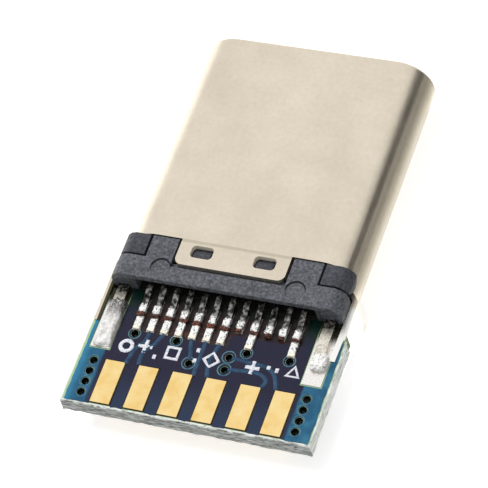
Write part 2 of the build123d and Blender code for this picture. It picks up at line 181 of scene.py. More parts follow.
def srgb(red, green, blue):
    """A colour given as 0 to 255, as the linear value that a socket takes."""
    parts = []
    for value in (red / 255, green / 255, blue / 255):
        parts.append(value / 12.92 if value <= 0.04045 else ((value + 0.055) / 1.055) ** 2.4)
    return (*parts, 1.0)


def grey(value):
    """A neutral colour of one linear value."""
    return (value, value, value, 1)


# Node helpers for the finishes


def feed(node, name, value):
    """Set or link one socket of a node."""
    if isinstance(value, bpy.types.NodeSocket):
        node.id_data.links.new(value, node.inputs[name])
    else:
        node.inputs[name].default_value = value


def add_node(look, kind, inputs=None, **settings):
    """One node, with its sockets linked or set by name or number."""
    node = look.node_tree.nodes.new(kind)
    for name, value in settings.items():
        setattr(node, name, value)
    for name, value in (inputs or {}).items():
        feed(node, name, value)
    return node


def new_finish(name):
    """An empty node material and its main shader."""
    look = bpy.data.materials.new(name)
    look.use_nodes = True
    return look, look.node_tree.nodes["Principled BSDF"]


def place_of(look):
    """Object coordinates of the surface, in metres."""
    return add_node(look, "ShaderNodeTexCoord").outputs["Object"]


def grain(look, size, stretch=(1, 1, 1), detail=3, distortion=0.0):
    """Noise whose spots measure size millimetres, from 0 to 1."""
    mapping = add_node(
        look,
        "ShaderNodeMapping",
        {"Vector": place_of(look), "Scale": tuple(1 / (size * mm * part) for part in stretch)},
    )
    texture = add_node(
        look,
        "ShaderNodeTexNoise",
        {"Vector": mapping.outputs["Vector"], "Scale": 1.0, "Detail": detail, "Distortion": distortion},
    )
    return texture.outputs["Fac"]


def ramp(look, value, *stops):
    """Colours over a value from 0 to 1: each stop is a place with red, green and blue, or with a colour."""
    node = add_node(look, "ShaderNodeValToRGB", {"Fac": value})
    elements = node.color_ramp.elements
    while len(elements) < len(stops):
        elements.new(0.5)
    for element, (position, *colour) in zip(elements, stops):
        element.position = position
        element.color = srgb(*colour) if len(colour) == 3 else colour[0]
    return node.outputs["Color"]


def spread(look, value, low, high, to_low=0.0, to_high=1.0):
    """A value between low and high, spread smoothly over a new range."""
    node = add_node(
        look,
        "ShaderNodeMapRange",
        {"Value": value, "From Min": low, "From Max": high, "To Min": to_low, "To Max": to_high},
        interpolation_type="SMOOTHSTEP",
    )
    return node.outputs["Result"]


def calculate(look, operation, first, second=0.0):
    """One sum of two values."""
    return add_node(look, "ShaderNodeMath", {0: first, 1: second}, operation=operation).outputs[0]


def mix(look, amount, first, second, blend="MIX"):
    """Two colours mixed by an amount."""
    node = add_node(
        look, "ShaderNodeMix", {"Factor": amount, 6: first, 7: second}, data_type="RGBA", blend_type=blend
    )
    return node.outputs[2]


def relief(look, height, depth, base=None):
    """Bump of a height value, depth millimetres deep."""
    inputs = {"Height": height, "Distance": depth * mm, "Strength": 1.0}
    if base is not None:
        inputs["Normal"] = base
    return add_node(look, "ShaderNodeBump", inputs).outputs["Normal"]


def axis_of(look, axis):
    """One Object coordinate in millimetres."""
    parts = add_node(look, "ShaderNodeSeparateXYZ", {0: place_of(look)})
    return calculate(look, "DIVIDE", parts.outputs[axis], mm)


def beyond(look, value, edge, soft):
    """0 before an edge and 1 after it, with a soft step."""
    return spread(look, value, edge - soft / 2, edge + soft / 2)


def before(look, value, edge, soft):
    """1 before an edge and 0 after it, with a soft step."""
    return calculate(look, "SUBTRACT", 1.0, beyond(look, value, edge, soft))


def between(look, value, low, high, soft):
    """1 between two edges and 0 outside them, with soft steps."""
    after = beyond(look, value, low, soft)
    past = beyond(look, value, high, soft)
    return minus(look, after, past)


def multiply(look, *values):
    """The product of several values."""
    result = values[0]
    for value in values[1:]:
        result = calculate(look, "MULTIPLY", result, value)
    return result


def minus(look, first, second):
    """One value less another."""
    return calculate(look, "SUBTRACT", first, second)


def absolute(look, value):
    """A value without its sign."""
    return calculate(look, "ABSOLUTE", value)


def mottle(look, size, *stops, **noise):
    """Colours that follow a grain of size millimetres."""
    return ramp(look, grain(look, size, **noise), *stops)


def polish(look, shader, size, low, high):
    """Roughness that wanders between two values, with a grain of size millimetres."""
    feed(shader, "Roughness", spread(look, grain(look, size), 0.3, 0.7, low, high))


# Finishes


def shell_steel_finish():
    """Satin nickel-plated steel, faintly mottled, pale in the slots, with painted shade where the tab bends
    down, a painted reflection of white on the right prong's rear and a painted shadow inside the left
    prong.
    """
    look, shader = new_finish("satin_shell_steel")
    cloud = mottle(
        look, 1.6, (0.30, 221, 210, 191), (0.52, 228, 217, 198), (0.75, 233, 223, 205), detail=4
    )
    fine = mottle(look, 0.16, (0.3, grey(0.93)), (0.7, grey(1)), detail=4)
    speck = mottle(look, 0.12, (0.19, (0.78, 0.77, 0.76, 1)), (0.25, grey(1)), detail=1)
    colour = mix(look, 1.0, mix(look, 1.0, cloud, fine, "MULTIPLY"), speck, "MULTIPLY")
    across = axis_of(look, 0)
    along = axis_of(look, 1)
    height = axis_of(look, 2)
    tab_side = absolute(look, minus(look, across, tab_middle))
    on_tab = multiply(
        look,
        between(look, along, tab_end - 0.1, roof_end, 0.02),
        before(look, tab_side, tab_half_width + 0.05, 0.02),
    )
    # Painted shade: the tab is darkened where it bends down behind the roof.
    bend_shade = multiply(look, on_tab, beyond(look, along, roof_end - 0.11, 0.08))
    colour = mix(look, multiply(look, bend_shade, 0.35), colour, srgb(150, 140, 124))
    slot_side = absolute(look, minus(look, tab_side, slot_middle))
    in_slot = multiply(
        look,
        on_tab,
        before(look, slot_side, slot_half_width + 0.01, 0.01),
        between(look, along, slot_y - slot_half_length - 0.01, slot_y + slot_half_length + 0.01, 0.01),
        between(look, height, shell_top - shell_wall, shell_top - 0.006, 0.006),
    )
    # Painted reflection: the right prong's rear is made near white, as if it mirrored white surroundings.
    prong_reflection = multiply(
        look, beyond(look, across, prong_inner - 0.2, 0.02), before(look, along, -2.1, 0.4)
    )
    # Painted shadow: the inner face of the left prong is dark olive and not metal.
    inside = multiply(
        look,
        between(look, across, -prong_inner - 0.4, 0.0, 0.02),
        beyond(look, across, 0.10 - prong_inner - shell_wall, 0.02),
        before(look, along, carrier_rear + 0.2, 0.2),
    )
    colour = mix(look, in_slot, colour, srgb(242, 232, 214))
    colour = mix(look, prong_reflection, colour, srgb(253, 252, 247))
    colour = mix(look, inside, colour, srgb(52, 48, 26))
    feed(shader, "Base Color", colour)
    # The slot walls and the painted shadow inside the left prong are not metal.
    plain = calculate(look, "MAXIMUM", in_slot, inside)
    feed(shader, "Metallic", minus(look, 1.0, plain))
    satin = spread(look, grain(look, 0.9), 0.3, 0.7, 0.31, 0.33)
    dull = multiply(look, plain, 0.3)
    feed(shader, "Roughness", calculate(look, "ADD", satin, dull))
    feed(shader, "Normal", relief(look, grain(look, 0.10, detail=4), 0.0022))
    return look


def moulding_finish(name, tint):
    """Matte black glass-filled plastic with a fine grain and small pits, and a painted shadow on the far
    half of each ejector-pin mark's ring.
    """
    look, shader = new_finish(name)
    dark = srgb(*(value * 0.55 for value in tint))
    pale = srgb(*(value * 1.4 for value in tint))
    body = mottle(look, 0.09, (0.25, dark), (0.5, srgb(*tint)), (0.75, pale), detail=4)
    patch = mottle(look, 0.9, (0.3, grey(0.86)), (0.7, grey(1)))
    body = mix(look, 1.0, body, patch, "MULTIPLY")
    reach = minus(look, absolute(look, axis_of(look, 0)), pin_mark_x)
    depth = minus(look, axis_of(look, 1), carrier_rear + pin_mark_y)
    radius = calculate(
        look, "SQRT", calculate(look, "ADD", multiply(look, reach, reach), multiply(look, depth, depth))
    )
    # Painted shadow: the far half of each ejector-pin ring is near black, as the shaded wall of a sunk
    # mark.
    rim = multiply(
        look,
        between(look, radius, pin_mark_radius - 0.035, pin_mark_radius + 0.02, 0.02),
        beyond(look, depth, 0.02, 0.2),
    )
    feed(shader, "Base Color", mix(look, rim, body, srgb(10, 10, 12)))
    polish(look, shader, 0.2, 0.48, 0.66)
    pits = relief(look, grain(look, 0.07, detail=4), 0.016)
    feed(shader, "Normal", relief(look, grain(look, 0.5), 0.02, pits))
    return look


def contact_finish():
    """Tinned contact strip: dull and darker near the housing, partly blotched tin and partly painted shade
    of the housing, near black right at it; brighter and blotched at the foot.
    """
    look, shader = new_finish("contact_strip")
    along = axis_of(look, 1)
    # From dark blotched tin near the housing, partly painted shade of the housing, to bright tin at the
    # foot.
    near_foot = spread(look, along, carrier_rear - 0.44, carrier_rear - 0.80)
    blotch = mottle(look, 0.13, (0.36, 22, 22, 22), (0.50, 84, 83, 80), (0.64, 168, 166, 160))
    # Painted shade of the housing: the tin turns near black right at it.
    strip_shade = spread(look, along, carrier_rear - 0.05, carrier_rear + 0.30, 0.0, 0.85)
    blotch = mix(look, strip_shade, blotch, srgb(14, 14, 14))
    bright = mottle(
        look,
        0.14,
        (0.38, 36, 34, 32),
        (0.46, 170, 167, 160),
        (0.56, 240, 238, 232),
        detail=2,
        distortion=1.2,
    )
    inner = beyond(look, along, carrier_rear + 0.45, 0.03)
    outside = mix(look, near_foot, blotch, bright)
    feed(shader, "Base Color", mix(look, inner, outside, srgb(232, 205, 150)))
    feed(shader, "Metallic", 1.0)
    feed(shader, "Roughness", spread(look, near_foot, 0.0, 1.0, 0.42, 0.22))
    feed(shader, "Normal", relief(look, grain(look, 0.09), 0.012))
    return look


def latch_finish():
    """Plain steel sheet of the latch, pale beige at its feet, darkened near the housing by speckled flux
    and painted shade of the housing.
    """
    look, shader = new_finish("latch_sheet")
    body = mottle(look, 0.08, (0.3, 190, 182, 166), (0.6, 240, 235, 222), detail=4)
    # Painted shade of the housing, speckled like flux: the sheet darkens near the housing.
    near = spread(look, axis_of(look, 1), carrier_rear - 0.80, carrier_rear - 0.20)
    shade_and_flux = mottle(look, 0.09, (0.42, 22, 22, 19), (0.62, 150, 147, 138))
    body = mix(look, near, body, shade_and_flux)
    feed(shader, "Base Color", body)
    feed(shader, "Metallic", 1.0)
    polish(look, shader, 0.2, 0.28, 0.42)
    feed(shader, "Normal", relief(look, grain(look, 0.07, detail=4), 0.006))
    return look


def spring_finish():
    """Bright spring steel of the inner plates."""
    look, shader = new_finish("spring_sheet")
    body = mottle(look, 0.3, (0.3, 196, 190, 178), (0.7, 226, 221, 210))
    feed(shader, "Base Color", body)
    feed(shader, "Metallic", 1.0)
    polish(look, shader, 0.4, 0.2, 0.3)
    return look


def gold_finish():
    """Gold plating over rolled copper, pale and even, with slight cloudiness."""
    look, shader = new_finish("gold_plating")
    body = mottle(look, 0.5, (0.3, 243, 206, 130), (0.5, 249, 218, 149), (0.75, 252, 228, 170), detail=4)
    feed(shader, "Base Color", body)
    feed(shader, "Metallic", 1.0)
    polish(look, shader, 0.3, 0.22, 0.34)
    feed(shader, "Normal", relief(look, grain(look, 0.12), 0.0015))
    return look


def pad_tin_finish():
    """Flat tin: bright, with a few dark specks where it froze unevenly, dark olive near the housing with
    painted shade of the housing.
    """
    look, shader = new_finish("pad_tin")
    wrinkle = grain(look, 0.13, detail=2, distortion=1.6)
    body = ramp(look, wrinkle, (0.24, 150, 146, 140), (0.34, 236, 232, 228))
    # Painted shade of the housing: the shield pads turn dark olive near it.
    near = multiply(
        look,
        spread(look, axis_of(look, 1), carrier_rear - 0.95, carrier_rear - 0.50),
        beyond(look, absolute(look, axis_of(look, 0)), 3.2, 0.1),
    )
    body = mix(look, near, body, srgb(40, 38, 24))
    feed(shader, "Base Color", body)
    feed(shader, "Metallic", 0.7)
    polish(look, shader, 0.15, 0.2, 0.38)
    feed(shader, "Normal", relief(look, wrinkle, 0.006))
    return look


def shiny_solder_finish():
    """Solder at the contacts: bright drops crossed by a thin painted dark reflection, cream at the end."""
    look, shader = new_finish("foot_solder_metal")
    drift = grain(look, 0.17, detail=1, distortion=1.0)
    # Painted reflection: a thin near-black line through the bright solder stands for dark surroundings
    # mirrored in its lumps.
    dark_reflection_line = absolute(look, minus(look, drift, 0.5))
    body = ramp(look, dark_reflection_line, (0.012, 16, 15, 14), (0.030, 246, 246, 243))
    cream = before(look, axis_of(look, 1), pad_rear + 0.16, 0.12)
    body = mix(look, multiply(look, cream, 0.6), body, srgb(250, 244, 222))
    feed(shader, "Base Color", body)
    feed(shader, "Metallic", 0.55)
    polish(look, shader, 0.15, 0.16, 0.3)
    feed(shader, "Normal", relief(look, drift, 0.012))
    return look


def lump_solder_finish():
    """Dull white solder, grey and speckled only where it thins out near the housing."""
    look, shader = new_finish("lump_solder")
    along = axis_of(look, 1)
    across = axis_of(look, 0)
    speckle = grain(look, 0.07, distortion=1.2)
    front = ramp(look, speckle, (0.36, 60, 58, 56), (0.50, 140, 138, 134), (0.64, 206, 204, 200))
    white = mottle(
        look, 0.16, (0.30, 186, 184, 180), (0.50, 220, 218, 215), (0.70, 242, 241, 238), detail=4
    )
    near = spread(look, along, -4.30, -3.60)
    left = before(look, across, 0.0, 1.0)
    pitted = ramp(look, speckle, (0.30, 70, 66, 58), (0.40, 244, 243, 240))
    body = mix(look, left, pitted, mix(look, near, white, front))
    feed(shader, "Base Color", body)
    feed(shader, "Metallic", multiply(look, near, 0.7))
    polish(look, shader, 0.1, 0.34, 0.5)
    feed(shader, "Normal", relief(look, grain(look, 0.09, detail=4), 0.022))
    return look


def laminate_finish():
    """Bare laminate: pale and fibrous, green-edged by the mask, stained brown round the solder joints, near
    black round the gold pads (dark laminate with painted shade of the pad edges) and dark with painted
    shade under the housing.
    """
    look, shader = new_finish("bare_laminate")
    across = absolute(look, axis_of(look, 0))
    along = axis_of(look, 1)
    fibre = mottle(
        look,
        0.16,
        (0.30, 150, 156, 150),
        (0.42, 214, 218, 211),
        (0.56, 240, 243, 238),
        (0.72, 250, 252, 248),
        stretch=(2.2, 2.2, 0.5),
        detail=5,
        distortion=0.6,
    )
    sawn = mottle(
        look,
        0.13,
        (0.36, 70, 74, 70),
        (0.46, 136, 140, 136),
        (0.58, 184, 188, 183),
        (0.72, 226, 229, 224),
        stretch=(2.6, 2.6, 0.45),
        detail=5,
        distortion=0.8,
    )
    at_rear = before(look, along, board_low.y + 0.07, 0.06)
    fibre = mix(look, at_rear, fibre, sawn)
    rim = beyond(look, across, board_high.x - 0.07, 0.08)
    edge = mix(look, rim, srgb(160, 186, 146), fibre)
    rear = beyond(look, along, board_low.y + mask_rear_border, 0.04)
    edge = mix(look, rear, fibre, edge)
    stain = mottle(look, 0.16, (0.34, 14, 10, 12), (0.6, 42, 24, 22), (0.72, 86, 36, 20), detail=4)
    between_contacts = multiply(
        look, beyond(look, along, pad_rear - 0.03, 0.04), before(look, across, 3.12, 0.1)
    )
    # Near black in the windows round the gold pads: dark laminate with painted shade of the pad edges.
    moat = multiply(
        look,
        before(look, along, cable_pad_high.y + 0.12, 0.04),
        before(look, across, cable_pad_high.x + 0.12, 0.04),
    )
    moat = multiply(look, moat, beyond(look, along, cable_pad_low.y - 0.045, 0.02))
    level = axis_of(look, 2)
    depth = absolute(look, minus(look, level, board_middle))
    faces = calculate(look, "GREATER_THAN", depth, board_thickness / 2 - 0.01)
    colour = mix(look, multiply(look, between_contacts, faces), edge, stain)
    colour = mix(look, multiply(look, moat, faces), colour, srgb(24, 18, 12))
    # Painted shade under and behind the housing: the board faces turn dark green-black.
    under = multiply(look, beyond(look, along, carrier_rear - 0.4, 0.6), faces)
    colour = mix(look, under, colour, srgb(20, 26, 18))
    feed(shader, "Base Color", colour)
    polish(look, shader, 0.2, 0.45, 0.7)
    feed(shader, "Normal", relief(look, grain(look, 0.12, stretch=(2, 2, 0.6), detail=5), 0.05))
    return look


def hole_wall_finish():
    """Dark inside of the plated holes, green-black with small glints: painted shade of the holes over a
    dark green.
    """
    look, shader = new_finish("hole_wall")
    # Painted shade: the hole walls and plugs are near black, over a dark green.
    body = mottle(look, 0.09, (0.4, 6, 10, 10), (0.7, 24, 46, 40))
    feed(shader, "Base Color", body)
    polish(look, shader, 0.1, 0.15, 0.5)
    feed(shader, "Normal", relief(look, grain(look, 0.08), 0.02))
    return look


def mask_finish():
    """Blue solder mask: navy over bare laminate, teal blue over the copper at the sides, with a painted
    highlight towards the left edge, mint green near the housing on the left and painted shade near the
    housing.
    """
    look, shader = new_finish("solder_mask")
    across = axis_of(look, 0)
    distance = absolute(look, across)
    along = axis_of(look, 1)
    navy = mottle(look, 0.5, (0.3, 26, 34, 54), (0.5, 32, 31, 51), (0.72, 38, 33, 52), detail=4)
    slot_blue = spread(look, along, cable_pad_high.y + 0.1, cable_pad_low.y - 0.1)
    navy = mix(look, multiply(look, slot_blue, 0.8), navy, srgb(40, 54, 78))
    copper = mottle(look, 0.6, (0.3, 26, 72, 102), (0.5, 38, 92, 122), (0.75, 60, 118, 144), detail=4)
    left = before(look, across, 0.0, 1.0)
    # Painted highlight: the copper band grows lighter towards the left edge.
    left_edge_highlight = spread(look, distance, 3.9, board_high.x - mask_border_left, 0.0, 0.5)
    copper = mix(look, multiply(look, left_edge_highlight, left), copper, srgb(62, 142, 178))
    field_edge = calculate(look, "ADD", 3.46, multiply(look, grain(look, 0.3), 0.10))
    beside = spread(look, minus(look, distance, field_edge), -0.03, 0.05)
    # Painted shade of the housing: the mask turns near black green towards it.
    green = spread(look, along, carrier_rear - 1.15, carrier_rear - 0.35)
    mask_shade_colour = mix(look, grain(look, 0.4), srgb(4, 18, 14), srgb(12, 40, 34))
    inner = mix(look, green, navy, mask_shade_colour)
    # On the left the copper band turns mint green towards the housing.
    mint = mix(look, multiply(look, green, left), copper, srgb(34, 122, 92))
    colour = mix(look, beside, inner, mint)
    feed(shader, "Base Color", colour)
    polish(look, shader, 0.25, 0.22, 0.34)
    feed(shader, "Specular IOR Level", 0.18)
    ripple = relief(look, grain(look, 0.35), 0.012)
    feed(shader, "Normal", relief(look, grain(look, 0.06), 0.0015, ripple))
    return look


def track_finish(name, low, high):
    """Mask over raised copper, a lighter teal."""
    look, shader = new_finish(name)
    body = mottle(look, 0.18, (0.3, low), (0.7, high), detail=4)
    feed(shader, "Base Color", body)
    polish(look, shader, 0.15, 0.2, 0.34)
    feed(shader, "Specular IOR Level", 0.25)
    feed(shader, "Normal", relief(look, grain(look, 0.1), 0.006))
    return look


def print_finish():
    """White board print, slightly grey and uneven."""
    look, shader = new_finish("white_print")
    body = mottle(look, 0.07, (0.3, 166, 170, 184), (0.5, 216, 219, 226), (0.7, 240, 241, 244), detail=4)
    feed(shader, "Base Color", body)
    polish(look, shader, 0.1, 0.5, 0.7)
    feed(shader, "Normal", relief(look, grain(look, 0.06), 0.008))
    return look


def flux_finish():
    """Brown flux left beside the joints, glossy."""
    look, shader = new_finish("brown_flux")
    body = mottle(look, 0.11, (0.34, 20, 11, 8), (0.50, 72, 32, 19), (0.66, 142, 72, 42))
    feed(shader, "Base Color", body)
    polish(look, shader, 0.1, 0.1, 0.3)
    feed(shader, "Normal", relief(look, grain(look, 0.07), 0.012))
    return look


shell_steel = shell_steel_finish()
insulator_plastic = moulding_finish("insulator_moulding", (59, 60, 67))
carrier_plastic = moulding_finish("carrier_moulding", (82, 84, 90))
contact_strip = contact_finish()
latch_sheet = latch_finish()
spring_sheet = spring_finish()
gold_plating = gold_finish()
pad_tin = pad_tin_finish()
lump_solder = lump_solder_finish()
foot_solder_metal = shiny_solder_finish()
bare_laminate = laminate_finish()
hole_wall = hole_wall_finish()
solder_mask = mask_finish()
track_mask = track_finish("mask_over_track", srgb(28, 52, 80), srgb(46, 78, 104))
ring_mask = track_finish("mask_over_ring", srgb(46, 88, 108), srgb(96, 138, 150))
white_print = print_finish()
brown_flux = flux_finish()

node_finishes = {
    "latch_plate": latch_sheet,
    "upper_shield_spring": spring_sheet,
    "lower_shield_spring": spring_sheet,
    "cable_pads_top": gold_plating,
    "cable_pads_bottom": gold_plating,
    "contact_pads_top": pad_tin,
    "contact_pads_bottom": pad_tin,
    "shield_pads_top": pad_tin,
    "shield_pads_bottom": pad_tin,
    "contact_solder_bottom": foot_solder_metal,
}


def finish_nodes():
    """Give each solid that stays its own finish."""
    for name, obj in frame["nodes"].items():
        look = node_finishes.get(name)
        if "contact_" in name and "pads" not in name and "solder" not in name:
            look = contact_strip
        if look is None:
            continue
        for slot in obj.material_slots:
            slot.material = look


# Modelling helpers


def take(*objects):
    """Select only these objects, the first one active."""
    bpy.ops.object.select_all(action="DESELECT")
    for obj in objects:
        obj.select_set(True)
    bpy.context.view_layer.objects.active = objects[0]


def settle(obj):
    """Put the object's place, turn and scale into its mesh."""
    take(obj)
    bpy.ops.object.transform_apply(location=True, rotation=True, scale=True)
    return obj


def open_whole(obj):
    """Open edit mode with every face chosen."""
    take(obj)
    bpy.ops.object.mode_set(mode="EDIT")
    bpy.ops.mesh.select_mode(type="FACE")
    bpy.ops.mesh.select_all(action="SELECT")


def close_edit():
    """Leave edit mode."""
    bpy.ops.object.mode_set(mode="OBJECT")


def shift(obj, test, move):
    """Move the vertices whose place passes the test."""
    take(obj)
    bpy.ops.object.mode_set(mode="EDIT")
    bpy.ops.mesh.select_mode(type="VERT")
    bpy.ops.mesh.select_all(action="DESELECT")
    bpy.ops.object.mode_set(mode="OBJECT")
    for vertex in obj.data.vertices:
        vertex.select = test(vertex.co)
    bpy.ops.object.mode_set(mode="EDIT")
    bpy.ops.transform.translate(value=move)
    close_edit()


def shape(obj, kind, **settings):
    """Add one modifier and apply it."""
    take(obj)
    modifier = obj.modifiers.new(kind.lower(), kind)
    for name, value in settings.items():
        setattr(modifier, name, value)
    bpy.ops.object.modifier_apply(modifier=modifier.name)


def roughen(obj, size, amount, middle=0.5, group="", direction="NORMAL"):
    """Move the surface in and out by noise, size millimetres across."""
    texture = bpy.data.textures.new("lumps", type="CLOUDS")
    texture.noise_scale = size
    texture.noise_depth = 2
    shape(
        obj,
        "DISPLACE",
        texture=texture,
        strength=amount,
        mid_level=middle,
        vertex_group=group,
        direction=direction,
    )


def join(objects):
    """One object from several."""
    take(*objects)
    bpy.ops.object.join()
    return objects[0]


def box_block(low, high):
    """A block between two corners."""
    size = [b - a for a, b in zip(low, high)]
    middle = [(a + b) / 2 for a, b in zip(low, high)]
    bpy.ops.mesh.primitive_cube_add(size=1, location=middle)
    block = bpy.context.object
    block.scale = size
    return settle(block)


def rod(place, radius, low, high, sides=28):
    """An upright cylinder between two levels."""
    bpy.ops.mesh.primitive_cylinder_add(
        vertices=sides, radius=radius, depth=high - low, location=(place[0], place[1], (low + high) / 2)
    )
    return settle(bpy.context.object)


def hole_rods(margin, low, high):
    """A rod for each hole of the board, wider than the hole by a margin."""
    rods = [rod(place, signal_hole_radius + margin, low, high) for place in inner_holes]
    return rods + [rod(place, edge_hole_radius + margin, low, high) for place in edge_holes]


def cut(obj, cutters, operation="DIFFERENCE"):
    """Cut the object with all the cutters at once and remove them."""
    tool = join(cutters) if len(cutters) > 1 else cutters[0]
    shape(obj, "BOOLEAN", object=tool, operation=operation, solver="EXACT", material_mode="TRANSFER")
    bpy.data.objects.remove(tool)


def wavy_slab(low, high, step, layers):
    """A slab on a fine grid, so that its edges can be roughened."""
    width = high[0] - low[0]
    length = high[1] - low[1]
    bpy.ops.mesh.primitive_grid_add(
        x_subdivisions=round(width / step),
        y_subdivisions=round(length / step),
        size=1,
        location=((low[0] + high[0]) / 2, (low[1] + high[1]) / 2, low[2]),
    )
    slab = bpy.context.object
    slab.scale = (width, length, 1)
    settle(slab)
    open_whole(slab)
    rise = (high[2] - low[2]) / layers
    for _ in range(layers):
        bpy.ops.mesh.extrude_region_move(TRANSFORM_OT_translate={"value": (0, 0, rise)})
    bpy.ops.mesh.select_all(action="SELECT")
    bpy.ops.mesh.normals_make_consistent(inside=False)
    close_edit()
    return slab


def solid_copy(node):
    """A copy of a solid, with its doubled points merged and its flat faces joined."""
    source = frame["nodes"][node]
    copy = source.copy()
    copy.data = source.data.copy()
    bpy.context.scene.collection.objects.link(copy)
    copy.parent = None
    copy.matrix_world = source.matrix_world.copy()
    settle(copy)
    copy.scale = (1 / mm, 1 / mm, 1 / mm)
    settle(copy)
    bpy.ops.mesh.customdata_custom_splitnormals_clear()
    open_whole(copy)
    bpy.ops.mesh.remove_doubles(threshold=0.0005)
    bpy.ops.mesh.dissolve_limited(angle_limit=math.radians(0.5))
    close_edit()
    return copy


def clip_corner(obj, corner, normal):
    """Cut away what lies beyond a slanted plane."""
    open_whole(obj)
    bpy.ops.mesh.bisect(plane_co=corner, plane_no=normal, use_fill=True, clear_outer=True)
    close_edit()


def rim_group(obj, name, test):
    """A vertex group of the vertices whose place passes the test."""
    group = obj.vertex_groups.new(name=name)
    group.add([vertex.index for vertex in obj.data.vertices if test(vertex.co)], 1.0, "REPLACE")
    return name


def finish_piece(obj, name, look=None, smooth=35):
    """Bring a piece to metres, name it, give it its finish and let it move with the plug."""
    obj.scale = (mm, mm, mm)
    settle(obj)
    obj.name = name
    obj.data.name = name
    if look:
        obj.data.materials.clear()
        obj.data.materials.append(look)
    bpy.ops.object.shade_smooth_by_angle(angle=math.radians(smooth))
    for group in list(obj.vertex_groups):
        obj.vertex_groups.remove(group)
    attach(obj, "root")
    return obj


# Shell and mouldings


def make_shell():
    """The shell, with prongs that grow lower towards their ends, the right one bent in a little."""
    body = solid_copy("shell")
    outer = board_middle + shell_top / 2 + spare
    tail_level = board_middle + tail_rise
    prong_level = board_middle + prong_rise_end
    for hand in (1, -1):
        left = hand * prong_inner - 2 * shell_wall
        right = hand * prong_inner + 2 * shell_wall
        block = box_block((left, prong_slope_start - spare, tail_level), (right, roof_end - spare, outer))
        cut(body, [block])
        wedge = box_block((left, prong_end - spare, prong_level), (right, prong_slope_start, outer))
        shift(
            wedge,
            lambda place: place.y > prong_slope_start - touch and place.z < outer - spare,
            (0, 0, tail_rise - prong_rise_end),
        )
        cut(body, [wedge])
    shift(
        body, lambda place: place.x > prong_inner - spare and place.y < prong_end + 0.5, (-prong_lean, 0, 0)
    )
    bpy.ops.object.shade_smooth_by_angle(angle=math.radians(35))
    shape(body, "WEIGHTED_NORMAL", keep_sharp=True, weight=100, thresh=0.6)
    piece = finish_piece(body, "steel_shell", shell_steel)
    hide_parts("shell")


def make_moulding(node, name, look):
    """A moulded piece with rounded outer corners and softened edges."""
    body = solid_copy(node)
    for side in (1, -1):
        for hand in (1, -1):
            for turn in (20, 45, 70):
                slant = math.radians(turn)
                normal = Vector((hand * math.sin(slant), 0, side * math.cos(slant)))
                reach = carrier_high.z - board_middle - corner_radius
                centre = Vector((hand * (carrier_high.x - corner_radius), 0, board_middle + side * reach))
                clip_corner(body, centre + corner_radius * normal, normal)
    shape(body, "BEVEL", width=0.022, segments=2, limit_method="ANGLE", angle_limit=math.radians(50))
    shape(body, "WEIGHTED_NORMAL", keep_sharp=True, weight=100)
    piece = finish_piece(body, name, look, smooth=40)
    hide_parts(node)


# Board


def make_laminate():
    """The board itself, with ragged sawn edges and its holes."""
    shoulder = board_low.y + board_wide_length
    body = wavy_slab(
        (board_low.x, board_low.y, board_low.z),
        (board_high.x, shoulder, board_high.z),
        step=slab_step,
        layers=5,
    )
    for hand in (-1, 1):
        corner = (hand * board_high.x, shoulder - shoulder_chamfer, board_middle)
        clip_corner(body, corner, (hand, 1, 0))
    rim = rim_group(
        body, "rim", lambda place: abs(place.x) > board_high.x - touch or place.y < board_low.y + touch
    )
    roughen(body, 0.22, 0.075, middle=1.0, group=rim)
    neck = box_block(
        (-neck_half_width, shoulder - 0.3, board_low.z), (neck_half_width, board_high.y, board_high.z)
    )
    body.data.materials.append(bare_laminate)
    neck.data.materials.append(bare_laminate)
    cut(body, [neck], "UNION")
    drill = join(hole_rods(0.0, board_low.z - spare, board_high.z + spare))
    drill.data.materials.append(hole_wall)
    cut(body, [drill])
    piece = finish_piece(body, "board_laminate")
    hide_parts("circuit_board")


